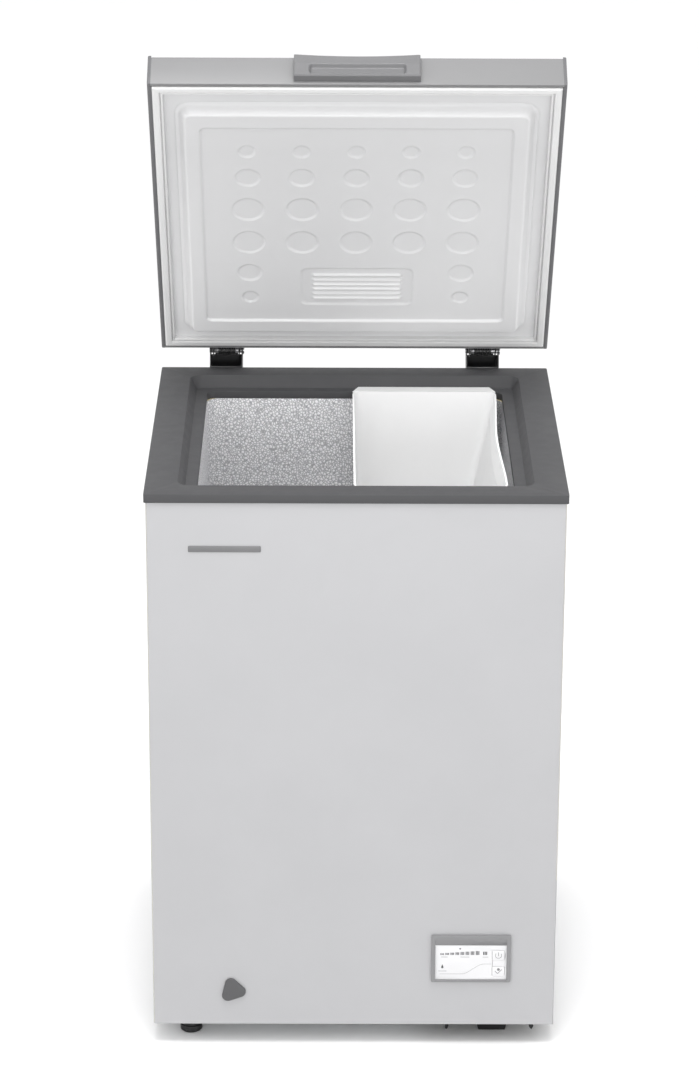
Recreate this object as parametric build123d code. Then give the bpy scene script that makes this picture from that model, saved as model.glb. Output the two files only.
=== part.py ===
"""Small chest freezer with a hinged lid, stored with its lid up.

Millimetres, +Z up, X to the right as seen from the front, Y away from the front.
The origin is on the floor, under the middle of the freezer as stored.
Lid parts are drawn on the closed lid, then turned about the hinge pins by LID_OPEN.
"""

from build123d import *
import os

# Overall sizes
WIDTH = 546.0  # collar and lid
DEPTH = 535.0
RIM_TOP = 792.0  # top of the collar above the floor
CABINET_FOOT = 30.0  # underside of the cabinet above the floor
FRONT = -288.0  # front edge of the collar
BACK = FRONT + DEPTH
LID_OPEN = 57.13  # degrees the lid stands open as stored

# Collar, the plastic frame round the opening
COLLAR_SKIN = 2.4
COLLAR_SKIRT = 11.5  # height of its outer skirt
RIM_SIDE = 42.0  # flat rim beside the opening
RIM_END = 36.0  # flat rim in front of and behind the opening
BEVEL_RUN = 8.7
BEVEL_DROP = 16.0
WELL_DEPTH = 26.0  # rim top to the liner's edge
CORNER = 3.0  # outer vertical corners

# Sheet and walls
SHEET = 0.8
LINER_SKIN = 1.0
TUB_HALF_WIDTH = 207.0
TUB_END_WALL = 62.0  # collar's front or rear edge to the liner's inner face
TUB_CORNER = 20.0
TUB_FLOOR = 100.0
HUMP_LEFT = 45.0
HUMP_TOP = 295.0
BAY_LEFT = 95.0  # compressor bay, low on the right
BAY_TOP = 245.0

# Lid, measured on the closed lid from its skirt's lower edge
LID_GAP = 3.0
LID_PANEL_HEIGHT = 47.5
LID_TRIM_HEIGHT = 50.0
LID_TRIM_WIDTH = 4.3
LID_SHIFT = 2.05  # the lid sits this far behind the collar's front edge
FLANGE_LEVEL = 6.0
LID_LINER_SKIN = 2.0
PLUG_DROP = 13.0
PLUG_RUN = 10.8
PLUG_HALF_WIDTH = 236.0
PLUG_FRONT_MARGIN = 43.0
PLUG_REAR_MARGIN = 34.0
PANEL_RECESS = 3.0
GASKET_MARGIN = 6.0
GASKET_WIDTH = 14.0
SEAL_GAP = 0.3  # closed gasket to collar

# Hinges
PIN_Y = FRONT + 559.6
PIN_Z = RIM_TOP + 18.0
PIN_R = 4.0
RUNNING = 0.06
HINGE_X = 182.0
CHEEK_OUT = 23.2
CHEEK_SKIN = 1.5
EAR_OUT = 19.0
WEB_HALF = 16.5  # plate behind the spring, between the leaf's ears

# Basket
BASKET_LEFT = -3.0
BASKET_RIGHT = 198.0
BASKET_DROP = 215.0
BASKET_SKIN = 2.5
BASKET_CORNER = 14.0
BASKET_TAPER = 6.0
BASKET_LEAN = 38.0  # the right wall's extra slope, over the basket's height
BASKET_PLAY = 4.0  # basket to the tub's end walls
LOOSE = 0.3  # clearance under a part that only rests

# Control panel on the front, right
PANEL_X = 157.5
PANEL_Z = 130.0
PANEL_W = 107.0
PANEL_H = 70.0
KEY_X = 194.5
KEY_RISE = (-18.5, 5.5)
KEY_W = 17.0
KEY_H = 15.0

# Drain
DRAIN_X = -161.5
DRAIN_Z = 81.0
DRAIN_Y = FRONT + 95.0
DRAIN_BORE = 7.06
DRAIN_WALL = 2.0
CAP_CORNERS = [(-4.0, 10.0), (7.8, -1.6), (-8.2, -7.4)]  # before rounding, about the outlet
CAP_ROUND = 8.0
CAP_THICK = 3.2

# Badge
BADGE_LEFT = -216.5
BADGE_LENGTH = 94.0
BADGE_BASE = 712.8
BADGE_HEIGHT = 8.4
BADGE_THICK = 0.8

# Feet
FOOT_X = -221.4
FOOT_INSET = 46.0
FOOT_R = 15.0
STEM_R = 4.0

# Refrigeration
COMPRESSOR_X = 180.0
COMPRESSOR_Y = 60.0
COMPRESSOR_BASE = 52.0
BOLT_DX = 52.0
BOLT_DY = 78.0
DRIER_Y = 200.0
GLAND = (118.0, 52.0)  # x and z of the mains lead's inlet

# Positions that follow from the sizes above
SKIN_INSET = COLLAR_SKIN  # cabinet sheet behind the collar's outer face
HALF = WIDTH / 2
FACE = FRONT + SKIN_INSET  # cabinet's front face
REAR_FACE = BACK - SKIN_INSET
SIDE = HALF - SKIN_INSET
LID_FRONT = FRONT + LID_SHIFT
LID_REAR = LID_FRONT + DEPTH
LID_BASE = RIM_TOP + LID_GAP
TUB_FRONT = FRONT + TUB_END_WALL
TUB_REAR = BACK - TUB_END_WALL
BASKET_TOP = RIM_TOP - BEVEL_DROP + LOOSE + BASKET_SKIN


def block(x0, x1, y0, y1, z0, z1):
    """Plain box between two corners."""
    centre = Pos((x0 + x1) / 2, (y0 + y1) / 2, (z0 + z1) / 2)
    return centre * Box(x1 - x0, y1 - y0, z1 - z0)


def rounded(x0, x1, y0, y1, z0, z1, radius):
    """Upright box with rounded vertical corners."""
    outline = Pos((x0 + x1) / 2, (y0 + y1) / 2, z0) * RectangleRounded(x1 - x0, y1 - y0, radius)
    return extrude(outline, z1 - z0)


def funnel(x0, x1, y0, y1, z0, z1, radius, run):
    """Upright rounded box that is wider at z1 by run on every side."""
    low = Pos((x0 + x1) / 2, (y0 + y1) / 2, z0) * RectangleRounded(x1 - x0, y1 - y0, radius)
    wide = RectangleRounded(x1 - x0 + 2 * run, y1 - y0 + 2 * run, radius + run)
    high = Pos((x0 + x1) / 2, (y0 + y1) / 2, z1) * wide
    return loft([low.face(), high.face()])


def rod(x, y, z0, z1, radius):
    """Upright cylinder."""
    return Pos(x, y, (z0 + z1) / 2) * Cylinder(radius, z1 - z0)


def rod_x(x0, x1, y, z, radius):
    """Cylinder along X."""
    return Pos((x0 + x1) / 2, y, z) * Rot(Y=90) * Cylinder(radius, x1 - x0)


def rod_y(x, y0, y1, z, radius):
    """Cylinder along Y."""
    return Pos(x, (y0 + y1) / 2, z) * Rot(X=90) * Cylinder(radius, y1 - y0)


def tube(points, radius, bend):
    """Round bar along straight runs joined by arcs."""
    path = FilletPolyline(*points, radius=bend)
    start = Plane(path @ 0, z_dir=path % 0)
    return sweep(start * Circle(radius), path=path)


def outline_in_xz(points, y0, y1):
    """Prism along Y from an outline in X and Z."""
    face = make_face(Plane.XZ * Polyline(*points, close=True))
    return Pos(0, y0, 0) * extrude(face, y1 - y0, dir=(0, 1, 0))


def outline_in_yz(points, x0, x1):
    """Prism along X from an outline in Y and Z."""
    face = make_face(Plane.YZ * Polyline(*points, close=True))
    return Pos(x0, 0, 0) * extrude(face, x1 - x0, dir=(1, 0, 0))


def lifted(shape):
    """Turns a piece drawn on the closed lid to the lid's stored position."""
    return Pos(0, PIN_Y, PIN_Z) * Rot(X=-LID_OPEN) * Pos(0, -PIN_Y, -PIN_Z) * shape


# Cabinet


def tub_space(grow):
    """Inside of the tub, grown outwards by grow, with the compressor hump left out."""
    space = rounded(
        -TUB_HALF_WIDTH - grow,
        TUB_HALF_WIDTH + grow,
        TUB_FRONT - grow,
        TUB_REAR + grow,
        TUB_FLOOR - grow,
        RIM_TOP - WELL_DEPTH,
        TUB_CORNER + grow,
    )
    hump = block(HUMP_LEFT + grow, HALF, FRONT, BACK, 0, HUMP_TOP - grow)
    return space - hump


def well(grow):
    """Opening through the collar, grown by grow: bevel, ledge and neck."""
    bevel_x = HALF - RIM_SIDE - BEVEL_RUN
    bevel_front = FRONT + RIM_END + BEVEL_RUN
    bevel_rear = BACK - RIM_END - BEVEL_RUN
    bevel = funnel(
        -bevel_x - grow,
        bevel_x + grow,
        bevel_front - grow,
        bevel_rear + grow,
        RIM_TOP - BEVEL_DROP - grow,
        RIM_TOP,
        8.0,
        BEVEL_RUN,
    )
    neck = rounded(
        -TUB_HALF_WIDTH - grow,
        TUB_HALF_WIDTH + grow,
        TUB_FRONT - grow,
        TUB_REAR + grow,
        RIM_TOP - WELL_DEPTH,
        RIM_TOP - BEVEL_DROP,
        12.0 + grow,
    )
    return bevel + neck


def collar():
    outer = rounded(-HALF, HALF, FRONT, BACK, RIM_TOP - COLLAR_SKIRT, RIM_TOP, CORNER)
    under = block(-SIDE, SIDE, FACE, REAR_FACE, RIM_TOP - COLLAR_SKIRT, RIM_TOP - COLLAR_SKIN)
    frame = (outer - under) + well(COLLAR_SKIN)
    return frame - well(0)


def wrapper_openings():
    """Holes in the front sheet for the panel and the drain, and louvres in the right side."""
    window = block(106, 209, FACE - 1, FACE + 2, 95.5, 161)
    drain = rod_y(DRAIN_X, FACE - 1, FACE + 2, DRAIN_Z, DRAIN_BORE + DRAIN_WALL)
    cuts = [window, drain]
    for column in (60.0, 160.0):
        for row in range(7):
            z = 85.0 + 18.0 * row
            cuts.append(block(SIDE - 2, SIDE + 1, column, column + 70.0, z, z + 4.0))
    return cuts


def cabinet_wrapper():
    top = RIM_TOP - COLLAR_SKIN
    outer = block(-SIDE, SIDE, FACE, REAR_FACE, CABINET_FOOT, top)
    front_edges = outer.edges().filter_by(Axis.Z).sort_by(Axis.Y)[:2]
    outer = fillet(front_edges, CORNER)
    inner = block(
        -SIDE + SHEET, SIDE - SHEET, FACE + SHEET, BACK, CABINET_FOOT - 1, top + 1
    )
    skin = outer - inner
    lip = 14.0
    for x0, x1 in ((-SIDE + SHEET, -SIDE + lip), (SIDE - lip, SIDE - SHEET)):
        skin += block(x0, x1, FACE + SHEET, REAR_FACE - SHEET, CABINET_FOOT, CABINET_FOOT + SHEET)
    for cut in wrapper_openings():
        skin -= cut
    return skin


def back_panel():
    top = RIM_TOP - COLLAR_SKIRT
    sheet = block(-SIDE + SHEET, SIDE - SHEET, REAR_FACE - SHEET, REAR_FACE, CABINET_FOOT, top)
    return sheet - block(BAY_LEFT + 8, SIDE - 12, BACK - 10, BACK, 44, BAY_TOP - 8)


def bottom_pan():
    """Floor sheet that steps up round the compressor bay."""
    y0 = FACE + SHEET
    y1 = REAR_FACE - SHEET
    floor = block(
        -SIDE + SHEET, BAY_LEFT, y0, y1, CABINET_FOOT + SHEET, CABINET_FOOT + 2 * SHEET
    )
    riser = block(BAY_LEFT - SHEET, BAY_LEFT, y0, y1, CABINET_FOOT + SHEET, BAY_TOP)
    roof = block(BAY_LEFT, SIDE - SHEET, y0, y1, BAY_TOP - SHEET, BAY_TOP)
    pan = floor + riser + roof
    for y in (FRONT + FOOT_INSET, BACK - FOOT_INSET):
        pan -= rod(FOOT_X, y, 0, 60, 7.0)
    for x, y in pipe_entries():
        pan -= rod(x, y, BAY_TOP - 5, BAY_TOP + 5, 5.0)
    return pan


def inner_liner():
    tub = tub_space(LINER_SKIN) - tub_space(0)
    return tub - rod(DRAIN_X, DRAIN_Y, TUB_FLOOR - 5, TUB_FLOOR + 5, DRAIN_BORE + DRAIN_WALL)


def evaporator_path():
    """Rectangular coil round the tub above the hump."""
    off = LINER_SKIN + 4.0
    x = TUB_HALF_WIDTH + off
    y0 = TUB_FRONT - off
    y1 = TUB_REAR + off
    pitch = 50.0
    z = HUMP_TOP + 30.0
    points = [(x, (y0 + y1) / 2, z)]
    for turn in range(8):
        level = z + pitch * turn
        points += [(x, y1, level), (-x, y1, level), (-x, y0, level + pitch), (x, y0, level + pitch)]
    points.append((x, 60.0, z + pitch * 8))
    return points


def condenser_path():
    """Serpentine on the inside of the right side, the back and the left side."""
    x = SIDE - SHEET - 4.0
    low = BAY_TOP + 30.0
    high = RIM_TOP - 60.0
    points = []
    for run in range(6):
        y = FRONT + 60.0 + 75.0 * run
        ends = [(x, y, low), (x, y, high)]
        points += ends if run % 2 == 0 else ends[::-1]
    turn_y = REAR_FACE - SHEET - 6.0
    points += [(x, turn_y, low), (-x, turn_y, low)]
    for run in range(6):
        y = FRONT + 435.0 - 75.0 * run
        ends = [(-x, y, low), (-x, y, high)]
        points += ends if run % 2 == 0 else ends[::-1]
    return points


def evaporator_tube():
    return tube(evaporator_path(), 3.5, 22.0)


def condenser_tube():
    return tube(condenser_path(), 3.0, 16.0)


def foam_insulation():
    y0 = FACE + SHEET
    y1 = REAR_FACE - SHEET
    z1 = RIM_TOP - COLLAR_SKIN
    foam = block(-SIDE + SHEET, SIDE - SHEET, y0, y1, CABINET_FOOT + 2 * SHEET, z1)
    foam -= block(BAY_LEFT - SHEET, SIDE, FRONT, BACK, 0, BAY_TOP)
    foam -= tub_space(LINER_SKIN)
    foam -= well(COLLAR_SKIN)
    for y in (FRONT + FOOT_INSET, BACK - FOOT_INSET):
        foam -= rod(FOOT_X, y, 0, 54, 7.0)
    foam -= tube(drain_route(), DRAIN_BORE + DRAIN_WALL, 12.0)
    foam -= rod(DRAIN_X, DRAIN_Y, DRAIN_Z + 12, TUB_FLOOR + 1, DRAIN_BORE + DRAIN_WALL)
    foam -= rod_y(DRAIN_X, FACE, FACE + 20, DRAIN_Z, DRAIN_BORE + DRAIN_WALL)
    for x, y in pipe_entries():
        foam -= rod(x, y, BAY_TOP - 1, BAY_TOP + 22, 4.0)
    foam -= evaporator_tube()
    foam -= condenser_tube()
    return max(foam.solids(), key=lambda solid: solid.volume)


# Drain


def drain_route():
    return [
        (DRAIN_X, DRAIN_Y, TUB_FLOOR),
        (DRAIN_X, DRAIN_Y, DRAIN_Z),
        (DRAIN_X, FACE, DRAIN_Z),
    ]


def drain_tube():
    route = drain_route()
    return tube(route, DRAIN_BORE + DRAIN_WALL, 12.0) - tube(route, DRAIN_BORE, 12.0)


def drain_plug():
    """Rubber stopper in the floor of the tub."""
    head = rod(DRAIN_X, DRAIN_Y, TUB_FLOOR + LOOSE, TUB_FLOOR + 3.3, 12.0)
    knob = rod(DRAIN_X, DRAIN_Y, TUB_FLOOR + 3.3, TUB_FLOOR + 10.0, 4.0)
    stem = rod(DRAIN_X, DRAIN_Y, TUB_FLOOR - 5.5, TUB_FLOOR + LOOSE, DRAIN_BORE - RUNNING)
    return head + knob + stem


def drain_cap():
    """Rounded triangular cap that pushes into the drain outlet."""
    outline = outline_in_xz(CAP_CORNERS, 0, CAP_THICK)
    plate = offset(outline.faces().sort_by(Axis.Y)[0], CAP_ROUND)
    plate = extrude(plate, CAP_THICK, dir=(0, 1, 0))
    plate = fillet(plate.faces().sort_by(Axis.Y)[0].edges(), 1.4)
    plate = Pos(DRAIN_X, FACE - LOOSE - CAP_THICK, DRAIN_Z) * plate
    stem = rod_y(DRAIN_X, FACE - LOOSE - 0.5, FACE + 18.0, DRAIN_Z, DRAIN_BORE - RUNNING)
    return plate + stem


# Feet and compressor tray


def foot_inserts():
    group = []
    for y in (FRONT + FOOT_INSET, BACK - FOOT_INSET):
        insert = rod(FOOT_X, y, CABINET_FOOT + SHEET, 54.0, 7.0)
        group.append(insert - rod(FOOT_X, y, 0, 50.0, STEM_R + RUNNING))
    return Compound(children=group)


def levelling_foot(y):
    pad = rod(FOOT_X, y, 0, 9.0, FOOT_R)
    pad = chamfer(pad.faces().sort_by(Axis.Z)[0].edges(), 1.5)
    collar_ring = rod(FOOT_X, y, 9.0, 13.0, FOOT_R - 2.5)
    hexagon = Pos(FOOT_X, y, 13.0) * RegularPolygon(8.0, 6)
    nut = extrude(hexagon, 10.0)
    stem = rod(FOOT_X, y, 23.0, 48.0, STEM_R)
    return pad + collar_ring + nut + stem


def pressed_foot(y0):
    """Hat-shaped foot under the compressor tray."""
    top = CABINET_FOOT + SHEET
    points = [(165.5, top), (212.5, top), (211.5, 17.0), (207.5, 0), (171.0, 0), (166.5, 17.0)]
    foot = outline_in_xz(points, y0, y0 + 36.0)
    return foot - block(174, 204, y0 + 4, y0 + 32, 14, top + 1)


def compressor_tray():
    """Steel tray across the bay's floor, with down-turned hooks and tabs."""
    z0 = CABINET_FOOT + SHEET
    x1 = SIDE - SHEET
    tray = block(BAY_LEFT, x1, FACE + 26, REAR_FACE - 8, z0, z0 + 1.6)
    tray += block(BAY_LEFT, x1, FACE + 26, FACE + 27.6, z0 + 1.6, z0 + 14.0)
    tray += block(BAY_LEFT, x1, REAR_FACE - 9.6, REAR_FACE - 8, z0 + 1.6, z0 + 14.0)
    y0 = FACE + 34.0
    tray += outline_in_xz([(124.5, z0), (130.5, z0), (130, 9), (128, 4), (125, 5)], y0, y0 + 2.0)
    tray += outline_in_xz([(142.5, z0), (154, z0), (149, 14), (144, 16)], y0, y0 + 2.0)
    hook = [(222, z0), (246, z0), (246, 9), (243, 4), (240, 8), (238, 15), (228, 14)]
    tray += outline_in_xz(hook, y0, y0 + 2.0)
    for x, y in compressor_bolt_places():
        tray -= rod(x, y, z0 - 1, z0 + 3, 3.2)
    return tray


# Refrigeration


def compressor_bolt_places():
    return [
        (COMPRESSOR_X + sx * BOLT_DX, COMPRESSOR_Y + sy * BOLT_DY) for sx in (-1, 1) for sy in (-1, 1)
    ]


def compressor():
    """Hermetic can: lower shell, weld flange, domed upper shell and foot straps."""
    z = COMPRESSOR_BASE
    place = Pos(COMPRESSOR_X, COMPRESSOR_Y, z)
    can = extrude(place * Ellipse(58.0, 72.0), 128.0)
    can = fillet(can.faces().sort_by(Axis.Z)[-1].edges(), 34.0)
    can = fillet(can.faces().sort_by(Axis.Z)[0].edges(), 14.0)
    can += extrude(Pos(COMPRESSOR_X, COMPRESSOR_Y, z + 62.0) * Ellipse(61.0, 75.0), 5.0)
    for sy in (-1, 1):
        y = COMPRESSOR_Y + sy * BOLT_DY
        strap_y = COMPRESSOR_Y + sy * 50.0
        strap = block(
            COMPRESSOR_X - 64,
            COMPRESSOR_X + 64,
            min(y, strap_y) - 10.0,
            max(y, strap_y) + 10.0,
            z,
            z + 3.0,
        )
        can += strap
    for x, y in compressor_bolt_places():
        can -= rod(x, y, z - 1, z + 4, 8.0)
    stub_z = z + 48.0
    for dy in (-14.0, 14.0):
        can += rod_x(COMPRESSOR_X - 70, COMPRESSOR_X - 40, COMPRESSOR_Y + dy, stub_z, 5.0)
    return can


def compressor_grommets():
    group = []
    low = CABINET_FOOT + SHEET + 1.6
    for x, y in compressor_bolt_places():
        body = rod(x, y, low, COMPRESSOR_BASE, 12.0)
        body += rod(x, y, COMPRESSOR_BASE, COMPRESSOR_BASE + 3.0, 8.0)
        body += rod(x, y, COMPRESSOR_BASE + 3.0, COMPRESSOR_BASE + 6.0, 11.0)
        group.append(body - rod(x, y, low - 1, COMPRESSOR_BASE + 8, 3.2))
    return Compound(children=group)


def compressor_bolts():
    group = []
    top = COMPRESSOR_BASE + 6.0
    for x, y in compressor_bolt_places():
        head = extrude(Pos(x, y, top) * RegularPolygon(6.0, 6), 4.5)
        group.append(head + rod(x, y, CABINET_FOOT - 1.0, top, 3.0))
    return Compound(children=group)


def relay_cover():
    """Plastic cover over the compressor's terminals, on its front."""
    y1 = COMPRESSOR_Y - 75.0
    cover = block(COMPRESSOR_X - 26, COMPRESSOR_X + 26, y1 - 32, y1, 84, 134)
    return fillet(cover.edges().filter_by(Axis.Y), 5.0)


def pipe_entries():
    """Where the four pipes pass through the bay's roof."""
    return [
        (104.0, COMPRESSOR_Y - 14.0),
        (104.0, COMPRESSOR_Y + 14.0),
        (252.0, DRIER_Y),
        (232.0, DRIER_Y),
    ]


def compressor_pipe(entry):
    """Pipe from a stub on the compressor's left side up into the foam."""
    x, y = entry
    z = COMPRESSOR_BASE + 48.0
    return tube([(COMPRESSOR_X - 70, y, z), (x, y, z), (x, y, BAY_TOP + 20)], 3.5, 5.0)


def suction_pipe():
    return compressor_pipe(pipe_entries()[0])


def discharge_pipe():
    return compressor_pipe(pipe_entries()[1])


def filter_drier():
    x, y = pipe_entries()[2]
    body = rod(x, y, 130, 195, 9.0)
    body = fillet(body.edges().filter_by(GeomType.CIRCLE), 4.0)
    return body + rod(x, y, 120, 131, 3.5) + rod(x, y, 194, 205, 4.0)


def liquid_pipe():
    x, y = pipe_entries()[2]
    return rod(x, y, 205, BAY_TOP + 20, 3.0)


def capillary_tube():
    x, y = pipe_entries()[2]
    x1, _ = pipe_entries()[3]
    return tube([(x, y, 120), (x, y, 100), (x1, y, 100), (x1, y, BAY_TOP + 20)], 1.5, 8.0)


# Compressor bay cover on the back


def rear_grille():
    x0 = BAY_LEFT + 1
    x1 = SIDE - 4
    z1 = BAY_TOP - 1
    cover = rounded_in_xz(x0, x1, 36, z1, REAR_FACE, REAR_FACE + 2.0, 6.0)
    for row in range(9):
        z = 62.0 + 18.0 * row
        cover -= block(x0 + 20, x1 - 20, BACK - 10, BACK + 10, z, z + 6.0)
    for x, z in grille_screw_places():
        cover -= rod_y(x, BACK - 10, BACK + 10, z, 2.2)
    gland_x, gland_z = GLAND
    return cover - rod_y(gland_x, BACK - 10, BACK + 10, gland_z, 8.0)


def rounded_in_xz(x0, x1, z0, z1, y0, y1, radius):
    """Plate in the XZ plane with rounded corners, y0 to y1 thick."""
    outline = Plane.XZ * (Pos((x0 + x1) / 2, (z0 + z1) / 2) * RectangleRounded(x1 - x0, z1 - z0, radius))
    return Pos(0, y1, 0) * extrude(outline, y1 - y0)


def grille_screw_places():
    return [(x, z) for x in (BAY_LEFT + 7, SIDE - 11) for z in (44.0, BAY_TOP - 8)]


def screw(x, y, z, head_r, stem_r, length):
    """Pan-head screw driven towards -Y, its head standing behind y."""
    head = rod_y(x, y, y + 2.2, z, head_r)
    head = fillet(head.faces().sort_by(Axis.Y)[-1].edges(), 1.0)
    slot = block(x - 0.5, x + 0.5, y + 1.2, y + 3, z - head_r * 0.6, z + head_r * 0.6)
    return (head + rod_y(x, y - length, y, z, stem_r)) - slot


def grille_screws():
    top = REAR_FACE + 2.0
    return Compound(children=[screw(x, top, z, 4.0, 2.0, 2.0) for x, z in grille_screw_places()])


def cable_gland():
    """Inlet bush for the mains lead, in the bay cover."""
    x, z = GLAND
    flange = rod_y(x, REAR_FACE + 2.0, REAR_FACE + 5.0, z, 11.0)
    neck = rod_y(x, REAR_FACE - 8.0, REAR_FACE + 2.0, z, 8.0)
    return flange + neck - rod_y(x, REAR_FACE - 10, REAR_FACE + 8, z, 3.6)


# Control panel


def control_bezel():
    x0 = PANEL_X - PANEL_W / 2
    x1 = PANEL_X + PANEL_W / 2
    z0 = PANEL_Z - PANEL_H / 2
    z1 = PANEL_Z + PANEL_H / 2
    frame = rounded_in_xz(x0, x1, z0, z1, FACE - 3.0, FACE, 2.5)
    frame += block(x0 + 3.4, x1 - 3.4, FACE, FACE + 5.0, z0 + 2.4, z1 - 4.0)
    frame -= block(x0 + 5.2, x1 - 5.4, FACE - 4, FACE + 6, z0 + 2.9, z1 - 15.6)
    slope = [(FACE - 3.1, z1 - 3.0), (FACE - 3.1, z1 - 16), (FACE - 0.9, z1 - 16)]
    return frame - outline_in_yz(slope, x0 + 5.2, x1 - 5.4)


def key_places():
    return [(KEY_X, PANEL_Z + rise - 1.0) for rise in KEY_RISE]


def control_plate():
    """White facia set back in the bezel, with two holes for the keys."""
    x0 = PANEL_X - PANEL_W / 2 + 5.3
    x1 = PANEL_X + PANEL_W / 2 - 5.5
    z0 = PANEL_Z - PANEL_H / 2 + 3.0
    z1 = PANEL_Z + PANEL_H / 2 - 15.7
    plate = block(x0, x1, FACE - 0.8, FACE + 1.4, z0, z1)
    for x, z in key_places():
        plate -= rounded_in_xz(
            x - KEY_W / 2, x + KEY_W / 2, z - KEY_H / 2, z + KEY_H / 2, FACE - 5, FACE + 5, 2.2
        )
    return plate


def control_key(place):
    """Push key that stands just proud of the facia."""
    x, z = place
    w = KEY_W / 2 - LOOSE
    h = KEY_H / 2 - LOOSE
    cap = rounded_in_xz(x - w, x + w, z - h, z + h, FACE - 1.3, FACE + 1.8, 2.0)
    return cap + rod_y(x, FACE + 1.8, FACE + 5.6, z, 2.5)


def control_board():
    return block(PANEL_X - 47, PANEL_X + 47, FACE + 7.5, FACE + 9.1, 99.0, 155.0)


def control_box():
    """Housing behind the panel, open to the front."""
    box = block(PANEL_X - 51, PANEL_X + 51, FACE + 5.0, FACE + 26.0, 96.2, 160.0)
    return box - block(PANEL_X - 49, PANEL_X + 49, FACE + 4, FACE + 24, 98.2, 158.0)


def front_badge():
    """Plain blank badge."""
    badge_top = BADGE_BASE + BADGE_HEIGHT
    end = BADGE_LEFT + BADGE_LENGTH
    return rounded_in_xz(BADGE_LEFT, end, BADGE_BASE, badge_top, FACE - BADGE_THICK, FACE, 1.5)


# Hinges


def hinge_bracket(x):
    """Channel on the back of the cabinet whose two cheeks carry the pin."""
    low = RIM_TOP - 96.0
    back_top = RIM_TOP - COLLAR_SKIRT - 0.5
    plate_y = REAR_FACE
    bracket = block(x - CHEEK_OUT, x + CHEEK_OUT, plate_y, plate_y + CHEEK_SKIN, low, back_top)
    profile = [
        (plate_y + CHEEK_SKIN, low),
        (plate_y + 12, low),
        (PIN_Y + 11, RIM_TOP - 40),
        (PIN_Y + 11, PIN_Z + 3),
        (PIN_Y + 6, PIN_Z + 10),
        (PIN_Y - 6, PIN_Z + 10),
        (PIN_Y - 13, PIN_Z + 2),
        (BACK + 1.5, RIM_TOP + 1.0),
        (BACK + 1.5, back_top),
        (plate_y + CHEEK_SKIN, back_top),
    ]
    for x0 in (x - CHEEK_OUT, x + CHEEK_OUT - CHEEK_SKIN):
        bracket += outline_in_yz(profile, x0, x0 + CHEEK_SKIN)
    inner = CHEEK_OUT - CHEEK_SKIN
    bracket += block(x - inner, x + inner, BACK + 1.5, BACK + 3.0, RIM_TOP - 9, RIM_TOP + 1)
    web_y = PIN_Y + 11 - CHEEK_SKIN
    bracket += block(x - inner, x + inner, web_y, PIN_Y + 11, RIM_TOP - 40, PIN_Z - 9.5)
    bracket += block(x - WEB_HALF, x + WEB_HALF, web_y, PIN_Y + 11, PIN_Z - 9.5, PIN_Z + 11)
    for sx, z in bracket_screw_places():
        bracket -= rod_y(x + sx, BACK - 10, BACK + 3, z, 2.6)
    return bracket - rod_x(x - 30, x + 30, PIN_Y, PIN_Z, PIN_R)


def bracket_screw_places():
    return [(sx, RIM_TOP - drop) for sx in (-12.0, 12.0) for drop in (34.0, 78.0)]


def bracket_screws():
    group = []
    for x in (-HINGE_X, HINGE_X):
        for sx, z in bracket_screw_places():
            group.append(screw(x + sx, REAR_FACE + CHEEK_SKIN, z, 5.0, 2.5, 1.5))
    return Compound(children=group)


def hinge_pin(x):
    pin = rod_x(x - CHEEK_OUT - 1.0, x + CHEEK_OUT, PIN_Y, PIN_Z, PIN_R)
    return pin + rod_x(x + CHEEK_OUT, x + CHEEK_OUT + 2.0, PIN_Y, PIN_Z, 6.0)


def hinge_spring(x):
    """Counterbalance spring round the pin, with a leg at each end."""
    length = 24.0
    wire = 1.0
    radius = 6.4
    coil = Helix(pitch=2.4, height=length, radius=radius)
    body = sweep(Plane(coil @ 0, z_dir=coil % 0) * Circle(wire), path=coil, is_frenet=True)
    body = Rot(Y=90) * body
    return Pos(x - length / 2, PIN_Y, PIN_Z) * body


def hinge_leaf(x):
    """Lid half of the hinge, drawn closed: plate on the lid's rear face and two ears on the pin."""
    skin = 1.5
    low = LID_BASE + 5.0
    high = LID_BASE + 44.0
    rear = LID_REAR + skin
    leaf = block(x - EAR_OUT, x + EAR_OUT, LID_REAR, rear, low, high)
    ear = [
        (LID_REAR, low),
        (PIN_Y - 2, PIN_Z - 8.5),
        (PIN_Y + 5, PIN_Z - 7),
        (PIN_Y + 8.5, PIN_Z),
        (PIN_Y + 5, PIN_Z + 7),
        (LID_REAR + 10, high),
        (LID_REAR, high),
    ]
    for x0 in (x - EAR_OUT, x + EAR_OUT - skin):
        leaf += outline_in_yz(ear, x0, x0 + skin)
    leaf -= rod_x(x - 30, x + 30, PIN_Y, PIN_Z, PIN_R + RUNNING)
    for sx, z in leaf_screw_places():
        leaf -= rod_y(x + sx, LID_REAR - 1, rear + 1, z, 2.6)
    return lifted(leaf)


def leaf_screw_places():
    return [(-10.0, LID_BASE + 34.0), (10.0, LID_BASE + 34.0), (0.0, LID_BASE + 20.0)]


def leaf_screws():
    group = []
    for x in (-HINGE_X, HINGE_X):
        for sx, z in leaf_screw_places():
            group.append(lifted(screw(x + sx, LID_REAR + 1.5, z, 4.5, 2.5, 1.5)))
    return Compound(children=group)


# Lid


def lid_panel():
    """Painted sheet: top, front skirt and rear skirt, with a return along the lower edges."""
    x = HALF - LID_TRIM_WIDTH
    z1 = LID_BASE + LID_PANEL_HEIGHT
    outer = block(-x, x, LID_FRONT, LID_REAR, LID_BASE, z1)
    hollow = block(-x - 1, x + 1, LID_FRONT + SHEET, LID_REAR - SHEET, LID_BASE - 1, z1 - SHEET)
    skin = outer - hollow
    for y0, y1 in ((LID_FRONT + SHEET, LID_FRONT + 4.5), (LID_REAR - 4.5, LID_REAR - SHEET)):
        skin += block(-x, x, y0, y1, LID_BASE, LID_BASE + SHEET)
    return lifted(skin)


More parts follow.
